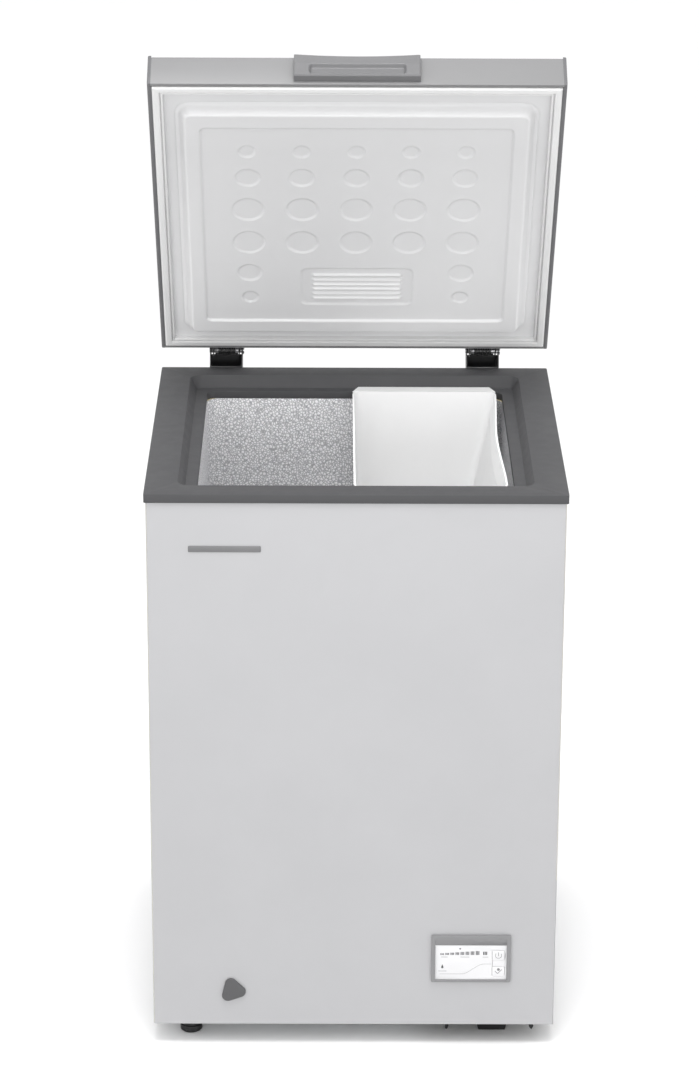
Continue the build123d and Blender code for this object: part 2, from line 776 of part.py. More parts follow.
def lid_trim(side):
    """Plastic edge strip down one side of the lid, with a cap over each rear corner."""
    z1 = LID_BASE + LID_TRIM_HEIGHT
    strip = block(HALF - LID_TRIM_WIDTH, HALF, LID_FRONT, LID_REAR, LID_BASE, z1)
    edges = strip.edges().filter_by(Axis.Y).sort_by(Axis.X)[-2:]
    strip = fillet(edges, 2.0)
    web = block(HALF - 6.0, HALF - LID_TRIM_WIDTH, LID_FRONT + 5, LID_REAR - 5, LID_BASE, LID_BASE + 5)
    piece = strip + web
    if side < 0:
        piece = mirror(piece, about=Plane.YZ)
    return lifted(piece)


def plug_box(inset, level):
    """Rounded outline of the plug at a height above the skirt's edge, as a face."""
    x = PLUG_HALF_WIDTH - inset
    y0 = LID_FRONT + PLUG_FRONT_MARGIN + inset
    y1 = LID_REAR - PLUG_REAR_MARGIN - inset
    return Pos(0, (y0 + y1) / 2, LID_BASE + level) * RectangleRounded(2 * x, y1 - y0, 16.0)


def plug(inset, low, high):
    """Tapered block below the lid's flange."""
    top = plug_box(inset, high)
    bottom = plug_box(inset + PLUG_RUN, low)
    return loft([bottom.face(), top.face()])


def panel_recess(grow):
    """Shallow recess in the plug's face, grown by grow."""
    y0 = LID_FRONT + PLUG_FRONT_MARGIN + 33.0
    y1 = LID_REAR - PLUG_REAR_MARGIN - 32.0
    z0 = LID_BASE + FLANGE_LEVEL - PLUG_DROP - 1.0
    z1 = LID_BASE + FLANGE_LEVEL - PLUG_DROP + PANEL_RECESS + grow
    return rounded(-208 - grow, 208 + grow, y0 - grow, y1 + grow, z0, z1, 20.0)


def dimple_places():
    """X, distance from the lid's rear edge, and diameter of each round dimple."""
    rows = [(410.5, 24.0), (359.5, 35.0), (296.5, 45.0), (230.0, 45.0), (167.0, 35.0), (116.0, 24.0)]
    places = []
    for index, (reach, size) in enumerate(rows):
        columns = (-2, -1, 0, 1, 2) if index < 4 else (-2, 2)
        places += [(72.7 * column, reach, size) for column in columns]
    return places


def lid_liner():
    """Moulded white inner face: flange, plug, recess, dimples and ribbed panel."""
    x = HALF - 6.0
    z = LID_BASE + FLANGE_LEVEL
    flange = block(-x, x, LID_FRONT + 4.5, LID_REAR - 4.5, z, z + LID_LINER_SKIN)
    low = FLANGE_LEVEL - PLUG_DROP
    form = flange + plug(0, low, FLANGE_LEVEL + LID_LINER_SKIN)
    form -= panel_recess(0)
    hollow = plug(LID_LINER_SKIN, low + LID_LINER_SKIN, FLANGE_LEVEL + LID_LINER_SKIN)
    form -= hollow - panel_recess(LID_LINER_SKIN)
    face = z - PLUG_DROP + PANEL_RECESS
    for dx, reach, size in dimple_places():
        form -= rod(dx, LID_REAR - reach, face - 1, face + 1.2, size / 2)
    form -= rounded(-76, 80, LID_REAR - 178, LID_REAR - 98, face - 1, face + 1.2, 10.0)
    return lifted(form)


def lid_foam():
    x = HALF - 6.0
    z0 = LID_BASE + FLANGE_LEVEL + LID_LINER_SKIN
    foam = block(
        -x, x, LID_FRONT + SHEET, LID_REAR - SHEET, z0, LID_BASE + LID_PANEL_HEIGHT - SHEET
    )
    low = FLANGE_LEVEL - PLUG_DROP + LID_LINER_SKIN
    core = plug(LID_LINER_SKIN, low, FLANGE_LEVEL + LID_LINER_SKIN) - panel_recess(LID_LINER_SKIN)
    return lifted(foam + core)


def lid_gasket():
    """Magnetic seal round the lid's flange."""
    x = HALF - GASKET_MARGIN
    y0 = LID_FRONT + GASKET_MARGIN
    y1 = LID_REAR - GASKET_MARGIN
    z0 = RIM_TOP + SEAL_GAP
    z1 = LID_BASE + FLANGE_LEVEL
    w = GASKET_WIDTH
    seal = block(-x, x, y0, y1, z0, z1) - block(-x + w, x - w, y0 + w, y1 - w, z0 - 1, z1 + 1)
    groove = block(-x + 9, x - 9, y0 + 9, y1 - 9, z0 - 1, z0 + 3)
    groove -= block(-x + 11, x - 11, y0 + 11, y1 - 11, z0 - 1, z0 + 3)
    return lifted(seal - groove)


def lid_handle():
    """Grip across the front of the lid, with a scoop for the fingers."""
    y = LID_FRONT
    z = LID_BASE
    profile = [(y, z + 5.5), (y - 11, z + 5.0), (y - 12, z + 6.5), (y - 12, z + 28), (y - 6, z + 48), (y, z + 49)]
    grip = outline_in_yz(profile, -82.5, 82.5)
    scoop = [(y - 12.5, z + 9), (y - 12.5, z + 27), (y - 6.0, z + 25), (y - 5.0, z + 9)]
    return lifted(grip - outline_in_yz(scoop, -63, 64))


# Basket


def basket_form(grow, low, high):
    """Tapered block between two levels; its right wall leans in towards the floor."""
    sections = []
    for z in (low, high):
        fall = (BASKET_TOP - z) / BASKET_DROP
        taper = BASKET_TAPER * fall - grow
        x0 = BASKET_LEFT + taper
        x1 = BASKET_RIGHT - taper - BASKET_LEAN * fall
        y0 = TUB_FRONT + BASKET_PLAY + taper
        y1 = TUB_REAR - BASKET_PLAY - taper
        outline = RectangleRounded(x1 - x0, y1 - y0, BASKET_CORNER + grow)
        sections.append(Pos((x0 + x1) / 2, (y0 + y1) / 2, z) * outline)
    return loft(sections)


def basket():
    """Hanging basket with a flange that rests on the collar's ledges."""
    z1 = BASKET_TOP
    outer = basket_form(0.0, z1 - BASKET_DROP, z1)
    inner = basket_form(-BASKET_SKIN, z1 - BASKET_DROP + BASKET_SKIN, z1 + BASKET_SKIN)
    flange_y = FRONT + RIM_END + BEVEL_RUN + 2.0
    flange_end = BACK - RIM_END - BEVEL_RUN - 2.0
    flange = rounded(
        BASKET_LEFT, BASKET_RIGHT, flange_y, flange_end, z1 - BASKET_SKIN, z1, 10.0
    )
    return outer + flange - inner


NODES = {
    "cabinet_wrapper": cabinet_wrapper,
    "back_panel": back_panel,
    "bottom_pan": bottom_pan,
    "collar": collar,
    "inner_liner": inner_liner,
    "foam_insulation": foam_insulation,
    "evaporator_tube": evaporator_tube,
    "condenser_tube": condenser_tube,
    "drain_tube": drain_tube,
    "drain_plug": drain_plug,
    "drain_cap": drain_cap,
    "foot_inserts": foot_inserts,
    "front_left_foot": lambda: levelling_foot(FRONT + FOOT_INSET),
    "rear_left_foot": lambda: levelling_foot(BACK - FOOT_INSET),
    "front_right_foot": lambda: pressed_foot(FRONT + 42.0),
    "rear_right_foot": lambda: pressed_foot(BACK - 78.0),
    "compressor_tray": compressor_tray,
    "compressor": compressor,
    "compressor_grommets": compressor_grommets,
    "compressor_bolts": compressor_bolts,
    "relay_cover": relay_cover,
    "suction_pipe": suction_pipe,
    "discharge_pipe": discharge_pipe,
    "filter_drier": filter_drier,
    "liquid_pipe": liquid_pipe,
    "capillary_tube": capillary_tube,
    "rear_grille": rear_grille,
    "grille_screws": grille_screws,
    "cable_gland": cable_gland,
    "control_bezel": control_bezel,
    "control_plate": control_plate,
    "control_box": control_box,
    "control_board": control_board,
    "lower_key": lambda: control_key(key_places()[0]),
    "upper_key": lambda: control_key(key_places()[1]),
    "front_badge": front_badge,
    "left_hinge_bracket": lambda: hinge_bracket(-HINGE_X),
    "right_hinge_bracket": lambda: hinge_bracket(HINGE_X),
    "left_hinge_pin": lambda: hinge_pin(-HINGE_X),
    "right_hinge_pin": lambda: hinge_pin(HINGE_X),
    "left_hinge_spring": lambda: hinge_spring(-HINGE_X),
    "right_hinge_spring": lambda: hinge_spring(HINGE_X),
    "bracket_screws": bracket_screws,
    "left_hinge_leaf": lambda: hinge_leaf(-HINGE_X),
    "right_hinge_leaf": lambda: hinge_leaf(HINGE_X),
    "leaf_screws": leaf_screws,
    "lid_panel": lid_panel,
    "left_lid_trim": lambda: lid_trim(-1),
    "right_lid_trim": lambda: lid_trim(1),
    "lid_foam": lid_foam,
    "lid_liner": lid_liner,
    "lid_gasket": lid_gasket,
    "lid_handle": lid_handle,
    "basket": basket,
}

os.makedirs("parts", exist_ok=True)
for node, make in NODES.items():
    export_step(make(), os.path.join("parts", node + ".step"))
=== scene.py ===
"""Chest freezer with its lid up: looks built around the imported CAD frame. Metres."""

import bmesh
import bpy
import math
import numpy as np
from mathutils import Matrix, Vector


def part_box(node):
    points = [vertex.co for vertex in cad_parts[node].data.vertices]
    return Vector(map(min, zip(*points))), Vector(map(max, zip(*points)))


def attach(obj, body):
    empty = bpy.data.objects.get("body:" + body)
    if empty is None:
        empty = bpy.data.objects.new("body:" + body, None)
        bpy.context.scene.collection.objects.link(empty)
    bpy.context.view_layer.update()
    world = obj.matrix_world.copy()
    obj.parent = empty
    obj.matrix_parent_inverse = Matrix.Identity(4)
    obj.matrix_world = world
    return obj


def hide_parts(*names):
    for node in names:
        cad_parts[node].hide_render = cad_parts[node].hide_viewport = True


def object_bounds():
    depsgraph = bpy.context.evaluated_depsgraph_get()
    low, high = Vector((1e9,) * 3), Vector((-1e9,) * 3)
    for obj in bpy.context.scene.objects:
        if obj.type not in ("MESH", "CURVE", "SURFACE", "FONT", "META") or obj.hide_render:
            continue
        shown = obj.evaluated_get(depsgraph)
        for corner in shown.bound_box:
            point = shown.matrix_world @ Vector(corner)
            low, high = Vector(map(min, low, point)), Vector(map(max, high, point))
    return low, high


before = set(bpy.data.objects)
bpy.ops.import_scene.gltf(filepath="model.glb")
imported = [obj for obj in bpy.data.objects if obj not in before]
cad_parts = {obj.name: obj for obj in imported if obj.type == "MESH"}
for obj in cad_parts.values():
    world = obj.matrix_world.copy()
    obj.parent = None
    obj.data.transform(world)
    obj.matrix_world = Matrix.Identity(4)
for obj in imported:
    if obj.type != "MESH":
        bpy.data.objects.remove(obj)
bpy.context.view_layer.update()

# Sizes that the pieces below share, in metres
MILLIMETRE = 0.001
HALF = 0.273
FRONT = -0.288
DEPTH = 0.535
RIM_TOP = 0.792
LID_FRONT = FRONT + 0.00205
LID_REAR = LID_FRONT + DEPTH
LID_BASE = RIM_TOP + 0.003
LID_OPEN = math.radians(57.13)
PIN = Vector((0.0, FRONT + 0.5596, RIM_TOP + 0.018))
FACE = FRONT + 0.0024

# Lid moulding, in reach from the lid's rear edge and level above its skirt's lower edge
FLANGE_MARGIN = 0.006
FLANGE_LEVEL = 0.0060
PLUG_REAR_MARGIN = 0.034
PLUG_FRONT_MARGIN = 0.043
PLUG_HALF_WIDTH = 0.236
PLUG_CORNER = 0.018
PLUG_DROP = 0.0130
PLUG_RUN = 0.0108
RECESS_REAR = 0.066
RECESS_FRONT = 0.459
RECESS_HALF_WIDTH = 0.208
RECESS_CORNER = 0.009
RECESS_DEPTH = 0.0030
SEAM_DEPTH = 0.0012
DIMPLE_PITCH = 0.0727
DIMPLE_DEPTH = 0.0017
ALL_COLUMNS = (-2, -1, 0, 1, 2)
END_COLUMNS = (-2, 2)
DIMPLE_ROWS = (  # reach, diameter, columns
    (0.4105, 0.024, ALL_COLUMNS),
    (0.3595, 0.035, ALL_COLUMNS),
    (0.2965, 0.045, ALL_COLUMNS),
    (0.2300, 0.045, ALL_COLUMNS),
    (0.1670, 0.035, END_COLUMNS),
    (0.1160, 0.024, END_COLUMNS),
)
RIB_PANEL_X = 0.002
RIB_PANEL_REACH = 0.138
RIB_PANEL_DEPTH = 0.0014
RIB_COUNT = 6
RIB_PITCH = 0.0095
RIB_HEIGHT = 0.0027
MOULDING_BACK = 0.0080

# Handle, in level above the skirt's lower edge and how far it stands out
HANDLE_HALF = 0.0825
HANDLE_LOW = 0.0052
HANDLE_HIGH = 0.0490
HANDLE_PROUD = 0.0118
HANDLE_TOP_FALL = 0.0058
HANDLE_CREASE = 0.0285
SCOOP_DEPTH = 0.0052

# Basket
BASKET_WALL = 0.0024
BASKET_RIM = 0.0025
BASKET_FRONT = FRONT + 0.066
BASKET_REAR = FRONT + DEPTH - 0.066
BASKET_TAPER = 0.006
BASKET_LEAN = 0.038
BASKET_BOW = 0.0055
BASKET_CORNER = 0.014
WALL_STEPS = 30  # points along a straight wall
WALL_SLOTS = 30
FLOOR_SLOTS = 24
SLOT_WIDTH = 0.0042
SLOT_SPAN = 0.72  # part of the basket's height that a wall slot takes

# Control panel
PLATE_FACE = FACE - 0.0008
KEY_PROUD = 0.0005
PRINT_THICK = 0.00012

LIFT = Matrix.Translation(PIN) @ Matrix.Rotation(-LID_OPEN, 4, "X") @ Matrix.Translation(-PIN)


# Materials


def material(name, colour, roughness, metallic=0.0, specular=0.5, coat=0.0):
    """A Principled material with its node tree and shader."""
    mat = bpy.data.materials.new(name)
    mat.use_nodes = True
    shader = mat.node_tree.nodes["Principled BSDF"]
    shader.inputs["Base Color"].default_value = (*colour, 1.0)
    shader.inputs["Roughness"].default_value = roughness
    shader.inputs["Metallic"].default_value = metallic
    shader.inputs["Specular IOR Level"].default_value = specular
    shader.inputs["Coat Weight"].default_value = coat
    return mat, mat.node_tree, shader


def noise(tree, scale, detail=3.0, stretch=(1.0, 1.0, 1.0)):
    """Noise in object coordinates, with its scale in features per metre."""
    coords = tree.nodes.new("ShaderNodeTexCoord")
    mapping = tree.nodes.new("ShaderNodeMapping")
    mapping.inputs["Scale"].default_value = stretch
    texture = tree.nodes.new("ShaderNodeTexNoise")
    texture.inputs["Scale"].default_value = scale
    texture.inputs["Detail"].default_value = detail
    tree.links.new(coords.outputs["Object"], mapping.inputs["Vector"])
    tree.links.new(mapping.outputs["Vector"], texture.inputs["Vector"])
    return texture.outputs["Fac"]


def ramp(tree, source, low, high, start=0.35, end=0.65):
    """Maps a 0 to 1 value onto two colours or grey levels."""
    node = tree.nodes.new("ShaderNodeValToRGB")
    node.color_ramp.elements[0].position = start
    node.color_ramp.elements[1].position = end
    node.color_ramp.elements[0].color = (*low, 1.0)
    node.color_ramp.elements[1].color = (*high, 1.0)
    tree.links.new(source, node.inputs["Fac"])
    return node.outputs["Color"]


def bump(tree, shader, source, distance, strength=1.0):
    """Feeds a height into the shader's normal."""
    node = tree.nodes.new("ShaderNodeBump")
    node.inputs["Distance"].default_value = distance
    node.inputs["Strength"].default_value = strength
    tree.links.new(source, node.inputs["Height"])
    tree.links.new(node.outputs["Normal"], shader.inputs["Normal"])


def grained(name, colour, roughness, grain=2600.0, depth=0.00004, spread=0.05, **more):
    """Plastic, paint or plain metal: slight drift of colour and gloss, and a fine grain."""
    mat, tree, shader = material(name, colour, roughness, **more)
    drift = noise(tree, 9.0)
    light = tuple(min(1.0, c * (1 + spread)) for c in colour)
    dark = tuple(c * (1 - spread) for c in colour)
    tree.links.new(ramp(tree, drift, dark, light), shader.inputs["Base Color"])
    gloss = noise(tree, 60.0, 5.0)
    low = (roughness * 0.95,) * 3
    high = (min(1.0, roughness * 1.05),) * 3
    tree.links.new(ramp(tree, gloss, low, high), shader.inputs["Roughness"])
    bump(tree, shader, noise(tree, grain, 2.0), depth)
    return mat


def embossed_aluminium():
    """Thin aluminium sheet pressed with close round pebbles, with painted shade in the creases
    between them.
    """
    mat, tree, shader = material("embossed_aluminium", (0.90, 0.90, 0.92), 0.40, metallic=0.25)
    coords = tree.nodes.new("ShaderNodeTexCoord")
    cells = tree.nodes.new("ShaderNodeTexVoronoi")
    cells.feature = "DISTANCE_TO_EDGE"
    cells.inputs["Scale"].default_value = 270.0
    warp = tree.nodes.new("ShaderNodeTexNoise")
    warp.inputs["Scale"].default_value = 160.0
    mix = tree.nodes.new("ShaderNodeVectorMath")
    mix.operation = "MULTIPLY_ADD"
    mix.inputs[1].default_value = (0.0016, 0.0016, 0.0016)
    tree.links.new(coords.outputs["Object"], warp.inputs["Vector"])
    tree.links.new(warp.outputs["Color"], mix.inputs[0])
    tree.links.new(coords.outputs["Object"], mix.inputs[2])
    tree.links.new(mix.outputs["Vector"], cells.inputs["Vector"])
    # Painted shade: the colour darkens from each pebble's middle to the creases between pebbles.
    painted_light_tone = ramp(tree, cells.outputs["Distance"], (0.46, 0.46, 0.48), (0.99, 0.99, 1.0), 0.02, 0.20)
    tree.links.new(painted_light_tone, shader.inputs["Base Color"])
    bump(tree, shader, cells.outputs["Distance"], 0.0012, 0.9)
    return mat


def painted_light_liner_material():
    """Liner white with painted light: paler low on the open lid near the hinge and a little greyer
    towards the lid's front edge.
    """
    mat, tree, shader = material("liner_white_painted_light", (0.74, 0.74, 0.745), 0.36)
    place = tree.nodes.new("ShaderNodeNewGeometry")
    split = tree.nodes.new("ShaderNodeSeparateXYZ")
    fall = tree.nodes.new("ShaderNodeMapRange")
    fall.inputs["From Min"].default_value = RIM_TOP + 0.04
    fall.inputs["From Max"].default_value = RIM_TOP + 0.48
    tree.links.new(place.outputs["Position"], split.inputs["Vector"])
    tree.links.new(split.outputs["Z"], fall.inputs["Value"])
    # Painted light: the colour is paler where the open lid's lower part gets less light, and greyer
    # higher up.
    painted_light_tone = ramp(tree, fall.outputs["Result"], (0.79, 0.79, 0.795), (0.60, 0.60, 0.605), 0.0, 0.75)
    tree.links.new(painted_light_tone, shader.inputs["Base Color"])
    bump(tree, shader, noise(tree, 2200.0, 2.0), 0.00003)
    return mat


def brushed(name, colour, roughness, stretch):
    """Rolled or drawn metal with fine lines along one direction."""
    mat, tree, shader = material(name, colour, roughness, metallic=0.9)
    lines = noise(tree, 400.0, 4.0, stretch)
    light = tuple(min(1.0, c * 1.08) for c in colour)
    dark = tuple(c * 0.9 for c in colour)
    tree.links.new(ramp(tree, lines, dark, light), shader.inputs["Base Color"])
    bump(tree, shader, lines, 0.00003)
    return mat


PAINT = grained("silver_paint", (0.405, 0.405, 0.415), 0.42, 1500.0, 0.00002, 0.012)
LID_PAINT = grained("lid_paint", (0.195, 0.195, 0.198), 0.42, 1500.0, 0.00002, 0.012)
GALVANISED = grained("galvanised_steel", (0.46, 0.47, 0.48), 0.45, 120.0, 0.00002, 0.03, metallic=0.6)
GREY = grained("collar_plastic", (0.063, 0.063, 0.066), 0.60, 3000.0, 0.00005, 0.004, specular=0.3)
TRIM_GREY = grained("trim_plastic", (0.115, 0.115, 0.120), 0.45, 3000.0, 0.00005, 0.01)
HANDLE_GREY = grained("handle_plastic", (0.140, 0.140, 0.144), 0.42, 3000.0, 0.00004, 0.03)
BEZEL_GREY = grained("bezel_plastic", (0.215, 0.215, 0.220), 0.40, 3000.0, 0.00003, 0.03)
BADGE_GREY = grained("badge_enamel", (0.150, 0.150, 0.154), 0.35, 900.0, 0.00002, 0.05)
CAP_GREY = grained("cap_plastic", (0.078, 0.078, 0.081), 0.50, 3000.0, 0.00005, 0.03)
WHITE = grained("white_plastic", (0.74, 0.74, 0.745), 0.36, 2200.0, 0.00003, 0.012)
LINER_WHITE_WITH_PAINTED_LIGHT = painted_light_liner_material()
BASKET_WHITE = grained("basket_plastic", (0.83, 0.83, 0.83), 0.38, 1800.0, 0.00004, 0.015)
GASKET = grained("gasket_vinyl", (0.66, 0.66, 0.66), 0.50, 1400.0, 0.00004, 0.015)
FACIA = grained("facia_white", (0.69, 0.69, 0.70), 0.30, 2600.0, 0.00002, 0.01)
INK = grained("grey_ink", (0.075, 0.075, 0.080), 0.50, 2600.0, 0.00001, 0.08)
KEY_INK = grained("key_ink", (0.20, 0.20, 0.205), 0.50, 2600.0, 0.00001, 0.05)
PALE_INK = grained("pale_ink", (0.30, 0.30, 0.31), 0.50, 2600.0, 0.00001, 0.05)
BLACK = grained("black_plastic", (0.012, 0.012, 0.013), 0.42, 2500.0, 0.00005, 0.10)
BLACK_STEEL = grained("black_paint", (0.014, 0.014, 0.015), 0.30, 700.0, 0.00004, 0.10, coat=0.2)
RUBBER = grained("black_rubber", (0.018, 0.018, 0.018), 0.70, 1500.0, 0.00008, 0.12)
STEEL = brushed("bright_steel", (0.62, 0.62, 0.63), 0.28, (1.0, 12.0, 12.0))
SPRING = brushed("dark_steel", (0.10, 0.10, 0.10), 0.35, (1.0, 6.0, 6.0))
COPPER = brushed("copper_tube", (0.62, 0.30, 0.17), 0.33, (1.0, 1.0, 0.1))
FOAM = grained("rigid_foam", (0.70, 0.60, 0.36), 0.85, 350.0, 0.0004, 0.10)
BOARD = grained("circuit_board", (0.02, 0.12, 0.05), 0.35, 800.0, 0.00003, 0.15)
ALUMINIUM = embossed_aluminium()


# Mesh helpers


def add_piece(name, mesh, body, mat, replaces=()):
    """Links a mesh as a piece that rides on a CAD body."""
    mesh.materials.append(mat)
    piece = bpy.data.objects.new(name, mesh)
    bpy.context.scene.collection.objects.link(piece)
    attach(piece, body)
    if replaces:
        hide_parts(*replaces)
    return piece


def smooth(mesh, angle):
    """Smooth shading with sharp edges where faces meet steeply."""
    mesh.polygons.foreach_set("use_smooth", [True] * len(mesh.polygons))
    mesh.set_sharp_from_angle(angle=math.radians(angle))


def round_edges(piece, width, segments=3, angle=32.0):
    """Weld, then a small bevel on every steep edge."""
    weld = piece.modifiers.new("weld", "WELD")
    weld.merge_threshold = 0.000002
    bevel = piece.modifiers.new("round_edges", "BEVEL")
    bevel.width = width
    bevel.segments = segments
    bevel.limit_method = "ANGLE"
    bevel.angle_limit = math.radians(angle)
    bevel.harden_normals = True
    piece.data.polygons.foreach_set("use_smooth", [True] * len(piece.data.polygons))


def dress(node, mat, width=0.0):
    """Gives a CAD node its material and softened edges."""
    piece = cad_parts[node]
    piece.data.materials.clear()
    piece.data.materials.append(mat)
    if width:
        round_edges(piece, width)
    else:
        smooth(piece.data, 30.0)


def mesh_from(name, verts, faces):
    """Mesh from lists of points and faces, with every normal facing out."""
    mesh = bpy.data.meshes.new(name)
    mesh.from_pydata([tuple(v) for v in verts], [], faces)
    mesh.validate()
    fix = bmesh.new()
    fix.from_mesh(mesh)
    bmesh.ops.recalc_face_normals(fix, faces=fix.faces)
    fix.to_mesh(mesh)
    fix.free()
    return mesh


def box_mesh(name, place_corner):
    """Box mesh whose unit-cube corners are put in place by a function."""
    bm = bmesh.new()
    bmesh.ops.create_cube(bm, size=1.0)
    for v in bm.verts:
        v.co = place_corner(v.co)
    mesh = bpy.data.meshes.new(name)
    bm.to_mesh(mesh)
    bm.free()
    return mesh


def ease(value, low, high):
    """Smooth step from 0 at low to 1 at high, on arrays."""
    t = np.clip((value - low) / (high - low), 0.0, 1.0)
    return t * t * (3 - 2 * t)


def height_slab(name, xs, ls, height, back, point):
    """Closed slab: a height field over a grid in front, and a flat back."""
    columns, rows = len(xs), len(ls)
    verts = [point(x, l, height[j, i]) for j, l in enumerate(ls) for i, x in enumerate(xs)]
    faces = []
    for j in range(rows - 1):
        for i in range(columns - 1):
            a = j * columns + i
            faces.append((a, a + 1, a + columns + 1, a + columns))
    rim = list(range(columns))
    rim += [j * columns + columns - 1 for j in range(1, rows)]
    rim += [(rows - 1) * columns + i for i in range(columns - 2, -1, -1)]
    rim += [j * columns for j in range(rows - 2, 0, -1)]
    start = len(verts)
    for index in rim:
        j, i = divmod(index, columns)
        verts.append(point(xs[i], ls[j], back))
    count = len(rim)
    for k in range(count):
        n = (k + 1) % count
        faces.append((rim[k], rim[n], start + n, start + k))
    faces.append(tuple(start + k for k in range(count)))
    return mesh_from(name, verts, faces)


# Lid


def rounded_box_distance(x, y, half_x, half_y, radius):
    """Signed distance to a rounded rectangle centred on the origin, negative inside."""
    qx = np.abs(x) - (half_x - radius)
    qy = np.abs(y) - (half_y - radius)
    outside = np.hypot(np.maximum(qx, 0), np.maximum(qy, 0))
    return outside + np.minimum(np.maximum(qx, qy), 0) - radius


def on_lid(x, reach, level):
    """Point on the open lid, from x, reach from its rear edge and level above its skirt's edge."""
    return LIFT @ Vector((x, LID_REAR - reach, LID_BASE + level))


PLUG_CENTRE = (PLUG_REAR_MARGIN + DEPTH - PLUG_FRONT_MARGIN) / 2
PLUG_HALF_REACH = (DEPTH - PLUG_FRONT_MARGIN - PLUG_REAR_MARGIN) / 2
RECESS_CENTRE = (RECESS_REAR + RECESS_FRONT) / 2
RECESS_HALF_REACH = (RECESS_FRONT - RECESS_REAR) / 2


def inside_box(x, y, half_x, half_y, radius):
    """Distance inwards from the edge of a rounded rectangle centred on the origin."""
    return -rounded_box_distance(x, y, half_x, half_y, radius)


def lid_liner_height(x, reach):
    """Level of the liner's visible face: flange with a seam, plug, recess and its details."""
    edge = inside_box(x, reach - PLUG_CENTRE, PLUG_HALF_WIDTH, PLUG_HALF_REACH, PLUG_CORNER)
    level = FLANGE_LEVEL - PLUG_DROP * ease(edge, 0.0, PLUG_RUN)
    inner = inside_box(
        x, reach - RECESS_CENTRE, RECESS_HALF_WIDTH, RECESS_HALF_REACH, RECESS_CORNER
    )
    level += RECESS_DEPTH * ease(inner, 0.0, 0.0030)
    level += SEAM_DEPTH * ease(edge, -0.0036, -0.0021) * (1 - ease(edge, -0.0021, -0.0006))
    for row, size, columns in DIMPLE_ROWS:
        for column in columns:
            away = np.hypot(x - DIMPLE_PITCH * column, reach - row)
            level += DIMPLE_DEPTH * ease(size / 2 - away, 0.0, 0.0026)
    panel_x = x - RIB_PANEL_X
    panel_reach = reach - RIB_PANEL_REACH
    panel = inside_box(panel_x, panel_reach, 0.0775, 0.0385, 0.010)
    level += RIB_PANEL_DEPTH * ease(panel, 0.0, 0.0025)
    for rib in range(RIB_COUNT):
        rib_reach = panel_reach - RIB_PITCH * (rib - (RIB_COUNT - 1) / 2)
        line = inside_box(panel_x, rib_reach, 0.0620, 0.0028, 0.0026)
        level -= RIB_HEIGHT * ease(line, 0.0, 0.0022)
    return level


def build_lid_liner():
    """White moulded inner face of the lid."""
    xs = np.linspace(-HALF + FLANGE_MARGIN, HALF - FLANGE_MARGIN, 357)
    ls = np.linspace(0.0045, DEPTH - 0.0045, 351)
    grid_x, grid_l = np.meshgrid(xs, ls)
    height = lid_liner_height(grid_x, grid_l)
    mesh = height_slab("lid_liner_moulding", xs, ls, height, MOULDING_BACK, on_lid)
    smooth(mesh, 60.0)
    add_piece("lid_liner_moulding", mesh, "lid", LINER_WHITE_WITH_PAINTED_LIGHT, ["lid_liner"])


def ring(name, profile, half_x, low, high):
    """Closed rectangular ring on the lid, from a profile of (inset from the outline, level)."""
    verts, faces = [], []
    for inset, level in profile:
        x = half_x - inset
        verts += [
            on_lid(-x, low + inset, level),
            on_lid(x, low + inset, level),
            on_lid(x, high - inset, level),
            on_lid(-x, high - inset, level),
        ]
    count = len(profile)
    for p in range(count):
        n = (p + 1) % count
        for c in range(4):
            d = (c + 1) % 4
            faces.append((p * 4 + c, p * 4 + d, n * 4 + d, n * 4 + c))
    return mesh_from(name, verts, faces)


def build_gasket():
    """Magnetic seal: a soft base strip, a magnet bead and an inner lip with a groove between."""
    profile_mm = [
        (0.0, 6.0),
        (0.0, -0.6),
        (0.9, -1.9),
        (2.4, -2.5),
        (7.4, -2.5),
        (8.9, -2.0),
        (9.5, -0.6),
        (9.9, 1.6),
        (10.5, 1.7),
        (10.9, -0.2),
        (11.9, -1.0),
        (13.2, -0.6),
        (14.0, 1.0),
        (14.0, 6.0),
    ]
    profile = [(inset * MILLIMETRE, level * MILLIMETRE) for inset, level in profile_mm]
    mesh = ring(
        "magnetic_gasket", profile, HALF - FLANGE_MARGIN, FLANGE_MARGIN, DEPTH - FLANGE_MARGIN
    )
    smooth(mesh, 50.0)
    piece = add_piece("magnetic_gasket", mesh, "lid", GASKET, ["lid_gasket"])
    round_edges(piece, 0.00035, 2, 20.0)


def handle_reach(x, z):
    """How far the grip stands out: a concave top, a crease, rounded ends and a scoop."""
    middle = 1 - (np.abs(x) / HANDLE_HALF) ** 2
    dip = 0.0026 * middle
    crease = HANDLE_CREASE - 0.002 * middle
    slope = np.clip((z - crease) / (HANDLE_HIGH - crease), 0, 1) ** 1.15
    reach = HANDLE_PROUD - (HANDLE_TOP_FALL + dip) * slope
    reach -= 0.0012 * middle * ease(z, 0.010, 0.030)
    end = np.minimum(HANDLE_HALF - np.abs(x), np.minimum(z - HANDLE_LOW, HANDLE_HIGH - z))
    reach -= 0.0016 * (1 - ease(end, -0.0002, 0.0016))
    scoop = inside_box(x - 0.0005, z - 0.0172, 0.0640, 0.0098, 0.0055)
    return reach - SCOOP_DEPTH * ease(scoop, 0.0, 0.0042)


def on_front(x, z, proud):
    """Point in front of the open lid's front skirt."""
    return LIFT @ Vector((x, LID_FRONT - proud, LID_BASE + z))


def build_handle():
    """Grip in the middle of the lid's front edge."""
    xs = np.linspace(-HANDLE_HALF, HANDLE_HALF, 181)
    levels = np.linspace(HANDLE_LOW, HANDLE_HIGH, 61)
    grid_x, grid_z = np.meshgrid(xs, levels)
    mesh = height_slab("lid_grip", xs, levels, handle_reach(grid_x, grid_z), 0.0, on_front)
    smooth(mesh, 35.0)
    add_piece("lid_grip", mesh, "lid", HANDLE_GREY, ["lid_handle"])


